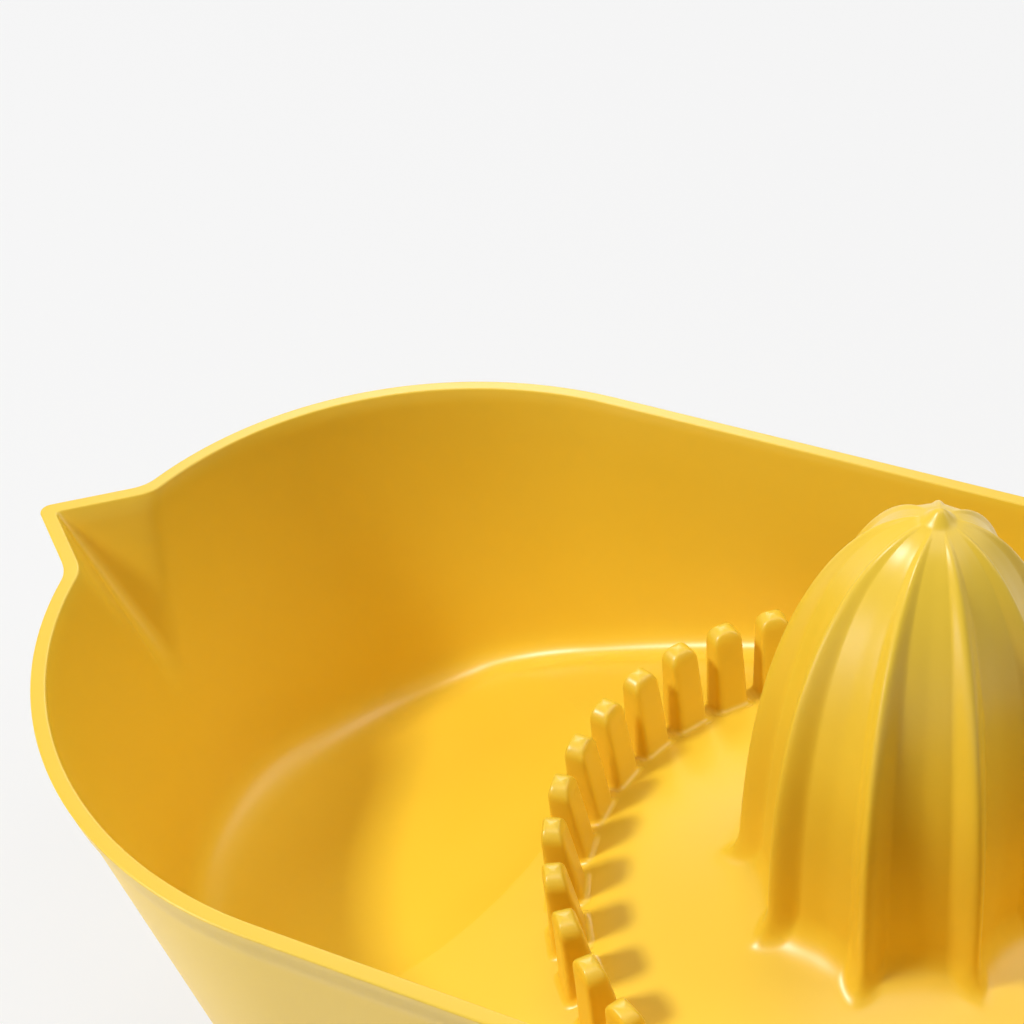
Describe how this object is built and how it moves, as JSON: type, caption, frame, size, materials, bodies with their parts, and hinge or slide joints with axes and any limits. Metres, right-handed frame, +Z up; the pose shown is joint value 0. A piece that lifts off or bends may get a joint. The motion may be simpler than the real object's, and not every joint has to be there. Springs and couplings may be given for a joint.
{
  "type": "citrus juicer",
  "caption": "Boat-shaped hand citrus juicer in moulded plastic: bowl with a V pour spout, conical floor, arc of upright strainer teeth and a fluted hollow reamer.",
  "frame": {"origin": "centre of the bounding box's bottom face, on the table under the bowl", "axes": "+Z up along the reamer, -X towards the pour spout, +Y across the bowl"},
  "size_m": [0.1874, 0.1142, 0.101],
  "materials": {
    "plastic": "satin injection-moulded thermoplastic, yellow"
  },
  "bodies": {
    "root": {"bow_wall": "plastic", "side_wall_front": "plastic", "side_wall_back": "plastic", "stern_wall": "plastic", "rim_lip": "plastic", "pour_spout": "plastic", "well_floor": "plastic", "press_floor": "plastic", "strainer_teeth": "plastic", "reamer": "plastic", "reamer_tip": "plastic"}
  },
  "joints": []
}
